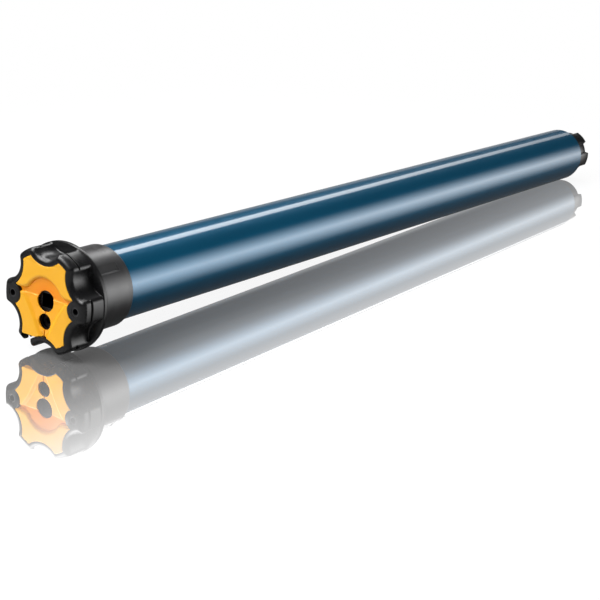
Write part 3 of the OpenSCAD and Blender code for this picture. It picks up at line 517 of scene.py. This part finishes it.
# %% [markdown]
# ## Edges of the drive end
# The hub that drives the blind is a plain moulding with two pairs of lobes. Its CAD shape is
# right, but every edge of a real moulding has a small round that catches the light. A copy of
# the solid is merged, so that its triangles share corners, and a Bevel modifier rounds its edges.

# %% Rounded copies of CAD pieces
def rounded_copy(node, width, body):
    """A merged copy of a CAD node with its edges rounded, which then stands for the node."""
    mesh = frame["nodes"][node].data.copy()
    mesh.materials.clear()
    shape = bmesh.new()
    shape.from_mesh(mesh)
    bmesh.ops.remove_doubles(shape, verts=shape.verts, dist=1e-6)
    bmesh.ops.dissolve_limit(shape, angle_limit=math.radians(1), verts=shape.verts, edges=shape.edges)
    shape.to_mesh(mesh)
    shape.free()
    piece = add_object(node + "_rounded", mesh)
    bevel = piece.modifiers.new("edges", "BEVEL")
    bevel.width = width * MM
    bevel.segments = 2
    bevel.limit_method = "ANGLE"
    bevel.angle_limit = math.radians(35)
    graph = bpy.context.evaluated_depsgraph_get()
    piece.data = bpy.data.meshes.new_from_object(piece.evaluated_get(graph))
    piece.modifiers.clear()
    smooth(piece.data, 40)
    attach(piece, body)
    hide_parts(node)
    print(piece.name, "has", len(piece.data.polygons), "faces")
    return piece


hub = rounded_copy("drive_hub", 1.1, "output")
hub_bolt = rounded_copy("hub_screw", 0.25, "output")
cap = rounded_copy("end_cap", 0.3, "root")

# %% [markdown]
# ## Shader maths as Python
# A finish is a small network of nodes. Written as plain sums it is easier to read, so a class
# wraps a socket and gives it the operators that are used here. Any other node comes from one
# method that takes its type, its settings and the values of its sockets.

# %% Finish maker
class Flow:
    """A value that flows through a material. Sums on it add Math nodes."""

    def __init__(self, tree, socket):
        self.tree = tree
        self.socket = socket

    def node(self, kind, settings, **inputs):
        """Adds a node, applies its settings and feeds its sockets by name, or by number as i0, i1 and so on.
        Returns the output that the settings name, or else the first one."""
        node = self.tree.nodes.new("ShaderNode" + kind)
        output = settings.pop("output", 0)
        for key, value in settings.items():
            setattr(node, key, value)
        for key, value in inputs.items():
            name = key.replace("_", " ")
            numbered = name[0] == "i" and name[1:].isdigit()
            socket = node.inputs[int(name[1:])] if numbered else node.inputs[name]
            if isinstance(value, Flow):
                self.tree.links.new(value.socket, socket)
            else:
                socket.default_value = value
        return Flow(self.tree, node.outputs[output])

    def maths(self, operation, first, second):
        """Adds a Math node for two values."""
        return self.node("Math", {"operation": operation}, i0=first, i1=second)

    def __add__(self, other):
        return self.maths("ADD", self, other)

    def __mul__(self, other):
        return self.maths("MULTIPLY", self, other)

    def __sub__(self, other):
        return self.maths("SUBTRACT", self, other)

    def __rsub__(self, other):
        return self.maths("SUBTRACT", other, self)

    def __truediv__(self, other):
        return self.maths("DIVIDE", self, other)

    __radd__ = __add__
    __rmul__ = __mul__

    def __abs__(self):
        return self.node("Math", {"operation": "ABSOLUTE"}, i0=self)

    def limit(self):
        """The value kept between 0 and 1."""
        return self.node("Math", {"operation": "MULTIPLY", "use_clamp": True}, i0=self, i1=1.0)


def source(tree, kind, output):
    """The start of a flow: one output of a node that needs no inputs, such as Light Path."""
    return Flow(tree, None).node(kind, {"output": output})


def feed(node, **flows):
    """Links flows to a node's sockets by name."""
    for key, flow in flows.items():
        flow.tree.links.new(flow.socket, node.inputs[key.replace("_", " ")])


def new_finish(name, **constants):
    """A material with a Principled shader. The constants are set straight on its sockets."""
    material = bpy.data.materials.new(name)
    material.use_nodes = True
    shader = material.node_tree.nodes["Principled BSDF"]
    for key, value in constants.items():
        shader.inputs[key.replace("_", " ")].default_value = value
    return material, shader, source(material.node_tree, "TexCoord", "Object")


# %% Small flows
ALONG = (1.0, 0.0, 0.0)
ACROSS = (0.0, 1.0, 0.0)
UPWARDS = (0.0, 0.0, 1.0)
HOLE_FADE = 0.4


def noise(place, scale, detail=3.0):
    """Noise from 0 to 1. The scale counts its bumps per metre."""
    return place.node("TexNoise", {}, Vector=place, Scale=scale, Detail=detail, Roughness=0.55)


def blend_colours(factor, first, second):
    """Runs from the first colour to the second one as the factor goes from 0 to 1."""
    settings = {"data_type": "RGBA", "output": 2}
    return factor.node("Mix", settings, i0=factor, i6=(*first, 1), i7=(*second, 1))


def blend_flows(factor, first, second):
    """Like blend_colours, for a first colour that already varies."""
    return factor.node("Mix", {"data_type": "RGBA", "output": 2}, i0=factor, i6=first, i7=second)


def reach(flow, way):
    """How far a place or a direction reaches along a way: their dot product."""
    return flow.node("VectorMath", {"operation": "DOT_PRODUCT", "output": 1}, i0=flow, i1=way)


def within(place, z, radius):
    """1 inside a cylinder along X at the height z, and 0 outside it, both in millimetres."""
    shifted = place.node("VectorMath", {"operation": "SUBTRACT"}, i0=place, i1=(0.0, 0.0, z * MM))
    across = place.node("VectorMath", {"operation": "MULTIPLY"}, i0=shifted, i1=(0.0, 1.0, 1.0))
    away = place.node("VectorMath", {"operation": "LENGTH", "output": 1}, i0=across)
    return ((radius * MM - away) / (HOLE_FADE * MM)).limit()


def bumped(height, strength, distance):
    """Normal of a surface with a fine relief. The distance is in millimetres."""
    return height.node("Bump", {}, Height=height, Strength=strength, Distance=distance * MM)


# %% [markdown]
# ## Moulded plastics
# The head, the cover and the hub are moulded in a satin plastic, whose skin has a fine spark
# eroded grain. One function makes all moulded finishes: colour that drifts a little, a roughness
# that drifts with it, and a fine grain as bump. It can also paint shade: a darker orange in the
# cover's hollow under the arch, and dull black inside the head's two holes. A second one adds the
# fine rings that the crown shows. A texture image would do as well, but noise on Object
# coordinates needs no unwrapping.

# %% Moulded finishes
GRAIN_DEPTH = 0.05
# Painted shade: the depth below the star's face at which the cover's hollow has its full darker orange.
RECESS_SHADE_DEPTH = 3.2
# Painted shade: the black that the insides of the head's holes get.
HOLE_SHADE_BLACK = (0.001, 0.001, 0.001, 1)


def moulded(name, dark, light, rough, grain=0.12, grain_scale=3200, recess_shade=None, shaded_holes=False, **constants):
    """Satin plastic: two close colours, a drifting roughness and a fine grain. It can paint shade in two
    places. Given a darker colour, painted shade turns the colour to it with the depth below the star's
    face, most of all above the crease, so that the hollow under the arch looks shaded. Asked for,
    painted shade makes it dull and black inside the two holes of the head."""
    material, shader, place = new_finish(name, **constants)
    drift = noise(place, 60)
    fine = noise(place, grain_scale, 2.0)
    colour = blend_colours(drift, dark, light)
    roughness = rough + (drift - 0.5) * 0.14 + (fine - 0.5) * 0.08
    # Painted shade: the hollow under the arch turns to the darker orange with its depth, most of all above
    # the crease.
    if recess_shade:
        shade_under_arch = ((reach(place, UPWARDS) - 0.5 * MM) / (5 * MM)).limit() * 0.65 + 0.35
        depth = (reach(place, ALONG) / (RECESS_SHADE_DEPTH * MM)).limit()
        colour = blend_flows(depth * shade_under_arch, colour, (*recess_shade, 1))
    # Painted shade: inside the head's two holes the colour turns black and dull, and a black metal there
    # mirrors nothing.
    if shaded_holes:
        past_cover = ((reach(place, ALONG) - (COVER_T + 0.3) * MM) / (0.5 * MM)).limit()
        either = within(place, 0, STUD_HOLE_R + 0.2) + within(place, -SETTING_DROP, SETTING_HOLE_R)
        hole_shade = either.limit() * past_cover
        colour = blend_flows(hole_shade, colour, HOLE_SHADE_BLACK)
        roughness = roughness + hole_shade * 0.6
        feed(shader, Metallic=hole_shade)
    feed(shader, Base_Color=colour, Roughness=roughness, Normal=bumped(fine, grain, GRAIN_DEPTH))
    return material


def turned_plastic(name, dark, light, rough):
    """Moulded ring with the fine marks of turning: thin rings along the axis over a soft drift."""
    material, shader, place = new_finish(name, Specular_IOR_Level=0.38)
    drift = noise(place, 45)
    rings = noise(place.node("Mapping", {}, Vector=place, Scale=(1.0, 0.02, 0.02)), 900, 4.0)
    fine = noise(place, 2600, 2.0)
    feed(
        shader,
        Base_Color=blend_colours((drift * 0.4 + rings * 0.6).limit(), dark, light),
        Roughness=rough + (drift - 0.5) * 0.1 + (rings - 0.5) * 0.3,
        Normal=bumped(rings + fine * 0.4, 0.2, 0.04),
    )
    return material


black = moulded(
    "black_moulding", (0.005, 0.005, 0.0055), (0.011, 0.011, 0.0115), 0.31, Specular_IOR_Level=0.3
)
# The head gets painted shade: dull black inside its two holes.
head_black = moulded(
    "head_moulding", (0.004, 0.004, 0.0043), (0.009, 0.009, 0.0095), 0.28,
    shaded_holes=True, Specular_IOR_Level=0.24,
)
grey = turned_plastic("grey_moulding", (0.018, 0.018, 0.019), (0.028, 0.028, 0.029), 0.34)
white = moulded("white_moulding", (0.68, 0.68, 0.63), (0.76, 0.76, 0.71), 0.45)
red = moulded("red_moulding", (0.5, 0.03, 0.025), (0.6, 0.045, 0.035), 0.3)
# The yellow cover gets painted shade: a darker orange in the hollow under the arch.
yellow = moulded(
    "yellow_moulding", (0.74, 0.358, 0.013), (0.77, 0.385, 0.018), 0.38,
    grain=0.08, recess_shade=(0.8, 0.225, 0.0), Specular_IOR_Level=0.25,
)
seal = moulded("seal_rubber", (0.012, 0.012, 0.012), (0.02, 0.02, 0.02), 0.6)
lead = moulded("lead_cover", (0.13, 0.07, 0.04), (0.17, 0.09, 0.05), 0.5)
board = moulded("circuit_board", (0.03, 0.16, 0.08), (0.04, 0.2, 0.1), 0.35)
lining = moulded(
    "brake_lining", (0.08, 0.065, 0.055), (0.12, 0.1, 0.085), 0.75, grain=0.4, grain_scale=1400
)

# %% [markdown]
# ## The blue lacquer
# The tube's lacquer is a dark petrol blue with metal flakes so small that they only glint, under
# a clear coat. So it has two glosses: the rough, partly metallic base gives the broad blue sheen
# along the tube, and the smooth coat gives the thin bright lines. Voronoi cells stand for the
# flakes, and the random value of each drives its colour, roughness and share of metal.

# %% Lacquer
lacquer, shader, place = new_finish(
    "petrol_lacquer", Coat_Weight=0.8, Coat_Roughness=0.07, Specular_IOR_Level=0.05
)
flakes = place.node("TexVoronoi", {"output": 1}, Vector=place, Scale=4200.0)
glint = flakes.node("SeparateColor", {}, Color=flakes)
drift = noise(place, 12)
blend = (glint * 0.55 + drift * 0.45).limit()
feed(
    shader,
    Base_Color=blend_colours(blend, (0.0, 0.052, 0.108), (0.0, 0.078, 0.156)),
    Roughness=0.38 + (glint - 0.5) * 0.12,
    Metallic=0.36 + (glint - 0.5) * 0.16,
)

# %% [markdown]
# ## Metals
# The metal pieces are machined, cast or wound. They share one function: a metal whose roughness
# and colour drift, with a grain that can be stretched along the axis, as drawn wire and turned
# shafts have it.

# %% Metal finishes
def metal(name, dark, light, rough, stretch=(1.0, 1.0, 1.0), scale=700, grain=0.15):
    """Bare metal: noise, stretched by a Mapping node, drives its colour, roughness and bump."""
    material, shader, place = new_finish(name, Metallic=1.0)
    fitted = place.node("Mapping", {}, Vector=place, Scale=stretch)
    marks = noise(fitted, scale)
    drift = noise(place, 40)
    feed(
        shader,
        Base_Color=blend_colours((marks * 0.6 + drift * 0.4).limit(), dark, light),
        Roughness=rough + (marks - 0.5) * 0.16,
        Normal=bumped(marks, grain, 0.03),
    )
    return material


steel = metal("machined_steel", (0.45, 0.45, 0.46), (0.6, 0.6, 0.61), 0.3, stretch=(6.0, 1.0, 1.0))
dark_steel = metal("blackened_steel", (0.05, 0.05, 0.052), (0.09, 0.09, 0.092), 0.42)
zinc = metal("cast_zinc", (0.36, 0.37, 0.38), (0.48, 0.49, 0.5), 0.45, scale=400)
aluminium = metal("cast_aluminium", (0.6, 0.61, 0.62), (0.72, 0.73, 0.74), 0.42, scale=500)
brass = metal("turned_brass", (0.6, 0.43, 0.16), (0.72, 0.55, 0.24), 0.28, stretch=(5.0, 1.0, 1.0))
bronze = metal("sintered_bronze", (0.42, 0.27, 0.13), (0.52, 0.36, 0.19), 0.5, scale=1600, grain=0.3)
copper = metal(
    "copper_wire", (0.5, 0.19, 0.07), (0.68, 0.3, 0.13), 0.32, stretch=(0.15, 3.0, 3.0), scale=1500, grain=0.5
)
laminations = metal(
    "laminations", (0.16, 0.16, 0.165), (0.3, 0.3, 0.31), 0.45, stretch=(12.0, 0.2, 0.2), scale=260, grain=0.4
)

# %% [markdown]
# ## Finishes on every piece
# The record names a material slot for each CAD piece, and a table gives each slot its finish.
# The new pieces get theirs by name, because the head alone has painted shade in its holes, and the
# hub is blacker than the crown.

# %% Finishes on every piece
FINISH = {
    "black_plastic": black, "grey_plastic": grey, "white_plastic": white, "red_plastic": red,
    "yellow_plastic": yellow, "seal_rubber": seal, "lead_cover": lead, "board": board,
    "brake_lining": lining, "blue_paint": lacquer, "steel": steel, "dark_steel": dark_steel,
    "zinc": zinc, "aluminium": aluminium, "brass": brass, "bronze": bronze, "copper": copper,
    "laminations": laminations,
}
for entry in frame["record"]["subparts"]:
    node = frame["nodes"][entry["node"]]
    node.data.materials.clear()
    node.data.materials.append(FINISH[entry["material_slot"]])
own_finish = {
    head: head_black, cover: yellow, crown: grey, tube: lacquer, hub: black, hub_bolt: steel, cap: black,
}
for piece, material in own_finish.items():
    piece.data.materials.clear()
    piece.data.materials.append(material)

# %% [markdown]
# ## Floor
# The motor lies on a white polished floor that mirrors it. The flange is wider than the tube, so
# the floor rises by less than one degree along the motor, and both the flange and the tube's far
# end rest on it. The finish is a sharp mirror over matt white. For the camera a white haze covers
# the mirrored picture more and more with the distance from the motor. Far away the matt white is
# left out, so that the floor turns as white as the room. The lengths are in metres.

# %% Floor
FLOOR_Z = -(FLANGE_R + 0.2) * MM
FLOOR_RISE = (FLANGE_R - TUBE_R) / (TUBE_END - STAR_LEN)
FLOOR_HALF = 30.0
SOFT_WHITE = (0.55, 0.55, 0.55)
SEEN_WHITE = (0.98, 0.98, 0.98)
MIRROR_SHARE = 0.91
CLEAR_HALF = 0.045
FADE_WIDTH = 0.105
FADE_LENGTH = 0.9
HAZE_LEAST = 0.06
HAZE_ALONG = 0.16
HAZE_ASIDE = 0.35

corners = [(x * FLOOR_HALF, y * FLOOR_HALF) for x, y in ((-1, -1), (1, -1), (1, 1), (-1, 1))]
corners = [(x, y, FLOOR_Z + FLOOR_RISE * (x - STAR_LEN * MM)) for x, y in corners]
floor_mesh = bpy.data.meshes.new("floor")
floor_mesh.from_pydata(corners, [], [(0, 1, 2, 3)])
floor = add_object("floor", floor_mesh)
floor_finish = bpy.data.materials.new("polished_floor")
floor_finish.use_nodes = True
tree = floor_finish.node_tree
tree.nodes.remove(tree.nodes["Principled BSDF"])

place = source(tree, "TexCoord", "Object")
along = reach(place, ALONG)
aside = abs(reach(place, ACROSS))
direct = source(tree, "LightPath", "Is Camera Ray")
ramp = ((aside - CLEAR_HALF) / FADE_WIDTH).limit()
paler = ramp * (ramp + 1) * HAZE_ASIDE + (along / FADE_LENGTH).limit() * HAZE_ALONG + HAZE_LEAST
far = (((aside - 0.25) / 0.5).limit() + ((along - 1.0) / 0.5).limit()).limit()
matt = direct.node("BsdfDiffuse", {}, Color=blend_colours(direct, SOFT_WHITE, SEEN_WHITE))
polish = direct.node("BsdfAnisotropic", {}, Color=(1, 1, 1, 1), Roughness=0.0)
haze = direct.node("Emission", {}, Color=(1, 1, 1, 1), Strength=1.0)
mirror = direct.node("MixShader", {}, i0=paler * direct, i1=polish, i2=haze)
both = direct.node("MixShader", {}, i0=far * (1 - MIRROR_SHARE) + MIRROR_SHARE, i1=matt, i2=mirror)
feed(tree.nodes["Material Output"], Surface=both)
floor_mesh.materials.append(floor_finish)
floor.visible_glossy = False
floor.visible_shadow = False
print("floor rises by", round(math.degrees(math.atan(FLOOR_RISE)), 2), "degrees")

# %% [markdown]
# ## Room
# The camera and sharp mirrors see a white room. Satin pieces see a dark one, with a dim wall
# behind the motor and a pale floor before the head: black plastic and dark lacquer need something
# dark to mirror, or they turn grey. The real floor is hidden from them, so that its glow can be
# kept low here. Light Path tells the kinds of ray apart.

# %% Room
WALL_WAY = (0.83, 0.557, 0.0)
DOWNWARDS = (0.0, 0.0, -1.0)
TOWARDS_CAMERA = (-1.0, 0.0, 0.0)
WALL_LEVEL = 0.42
DARK_LEVEL = 0.018
GLOW_BEFORE_HEAD = 0.7
GLOW_ELSEWHERE = 0.08
SOFT_LEVEL = 0.3
MOST_BOUNCES = 3

room = bpy.data.worlds.new("room")
bpy.context.scene.world = room
room.use_nodes = True
tree = room.node_tree
way = source(tree, "TexCoord", "Generated")
glossy, clear, seen, singular, depth = [
    source(tree, "LightPath", kind)
    for kind in ("Is Glossy Ray", "Is Transmission Ray", "Is Camera Ray", "Is Singular Ray", "Ray Depth")
]
sharp = (seen + singular * (MOST_BOUNCES - depth).limit()).limit()
satin = (glossy + clear - sharp).limit()
wall = ((reach(way, WALL_WAY) - 0.95) / 0.04).limit()
before_head = (reach(way, TOWARDS_CAMERA) * 2).limit()
floor_glow = (reach(way, DOWNWARDS) * 8).limit() * (before_head * GLOW_BEFORE_HEAD + GLOW_ELSEWHERE)
satin_level = wall * WALL_LEVEL + DARK_LEVEL + floor_glow
level = sharp + satin * satin_level + (1 - (sharp + satin).limit()) * SOFT_LEVEL
background = tree.nodes["Background"]
background.inputs["Color"].default_value = (1, 1, 1, 1)
feed(background, Strength=level)

# %% [markdown]
# ## Lights
# A wide panel overhead lights everything softly and leaves no gloss, and a key panel before the
# face lights the head. Three more panels only make gloss: a low one beside the motor draws the
# broad sheen in the lacquer, a narrow one above it draws the thin bright line, and one over the
# head draws the shine on the edges of the plastic pieces. They are linked to the motor's pieces,
# so that the floor doesn't mirror them, and the last one leaves out the tube.

# %% Pieces that the gloss is for
motor_pieces = bpy.data.collections.new("motor_pieces")
plastic_pieces = bpy.data.collections.new("plastic_pieces")
for thing in bpy.context.scene.objects:
    if thing.type == "MESH" and thing is not floor:
        motor_pieces.objects.link(thing)
        if thing is not tube:
            plastic_pieces.objects.link(thing)


# %% Soft panels
def stood(place, side, up, back):
    """Matrix that stands a lamp or a camera at a place in millimetres, with its three axes as columns."""
    matrix = np.eye(4)
    matrix[:3, :] = np.stack([side, up, back, np.array(place, float) * MM], axis=1)
    return Matrix(matrix.tolist())


def panel(
    name, place, aim, wide, high, radiance, gloss=True, gloss_for=None, soft_edge=False, near=1.0, far=1.0
):
    """A light panel at a place, turned to an aim. The radiance is the brightness of its face, which is its
    power over pi and its area. With gloss_for it makes gloss alone, on those pieces alone, and may fade:
    the root of its brightness runs from near to far along it, and a soft edge takes it to nothing at its
    upper and lower edge."""
    data = bpy.data.lights.new(name, "AREA")
    data.shape = "RECTANGLE"
    data.size, data.size_y = wide * MM, high * MM
    data.energy = radiance * math.pi * data.size * data.size_y
    lamp = bpy.data.objects.new(name, data)
    bpy.context.scene.collection.objects.link(lamp)
    way = (np.array(aim, float) - np.array(place, float)) * MM
    back = -way / np.linalg.norm(way)
    across = np.array(ACROSS if abs(back[0]) >= 0.9 else ALONG)
    side = across - back * (across @ back)
    side /= np.linalg.norm(side)
    lamp.matrix_world = stood(place, side, np.cross(back, side), back)
    lamp.visible_camera = False
    lamp.visible_glossy = gloss
    if gloss_for:
        lamp.visible_diffuse = False
        lamp.light_linking.receiver_collection = gloss_for
        data.use_nodes = True
        where = source(data.node_tree, "NewGeometry", "Parametric")
        root = near + reach(where, ALONG) * (far - near)
        strength = root * root
        if soft_edge:
            inwards = 1 - abs(reach(where, ACROSS) * 2 - 1)
            strength = strength * inwards * inwards
        feed(next(n for n in data.node_tree.nodes if n.type == "EMISSION"), Strength=strength)


panel("overhead", (400, 0, 2000), (400, 0.1, 0), 3000, 3000, 1.6, gloss=False)
panel("key", (-700, 380, 1000), (0, 0, 0), 700, 700, 13.0)
panel(
    "side_sheen", (1400, -640, 35), (1400, 0, 35), 2600, 1380, 7.7,
    gloss_for=motor_pieces, soft_edge=True, near=1.13, far=0.58,
)
panel("rim_gloss", (-150, 560, 830), (0, 0, 0), 1000, 1000, 9.0, gloss_for=plastic_pieces)
panel("top_line", (1400, 254, 593), (1400, 0, 0), 2600, 210, 8.0, gloss_for=motor_pieces, near=1.15, far=0.22)

# %% [markdown]
# ## Camera
# The camera looks at the head from the front and a little from above, through a long lens. Its
# place, aim, roll and lens come from a fit of the tube, the flange, the crown and the hub to
# their outlines in the photograph.

# %% Camera
CAMERA_AT = np.array([-734.8, -716.8, 332.0])
CAMERA_AIM = np.array([293.8, -30.3, -53.9])
CAMERA_ROLL = -4.479
CAMERA_LENS = 86.62
SENSOR_WIDTH = 36.0
NEAREST, FURTHEST = 0.01, 60

look = (CAMERA_AIM - CAMERA_AT) / np.linalg.norm(CAMERA_AIM - CAMERA_AT)
level_side = np.cross(look, UPWARDS)
level_side /= np.linalg.norm(level_side)
level_up = np.cross(level_side, look)
roll = math.radians(CAMERA_ROLL)
up = level_up * math.cos(roll) + level_side * math.sin(roll)
data = bpy.data.cameras.new("camera")
data.sensor_width = SENSOR_WIDTH
data.lens = CAMERA_LENS
data.clip_start, data.clip_end = NEAREST, FURTHEST
camera = bpy.data.objects.new("camera", data)
bpy.context.scene.collection.objects.link(camera)
camera.matrix_world = stood(CAMERA_AT, np.cross(look, up), up, -look)
bpy.context.scene.camera = camera
bpy.context.scene.view_settings.view_transform = "Standard"
print("camera is", round(float(np.linalg.norm(CAMERA_AT))), "mm from the head")
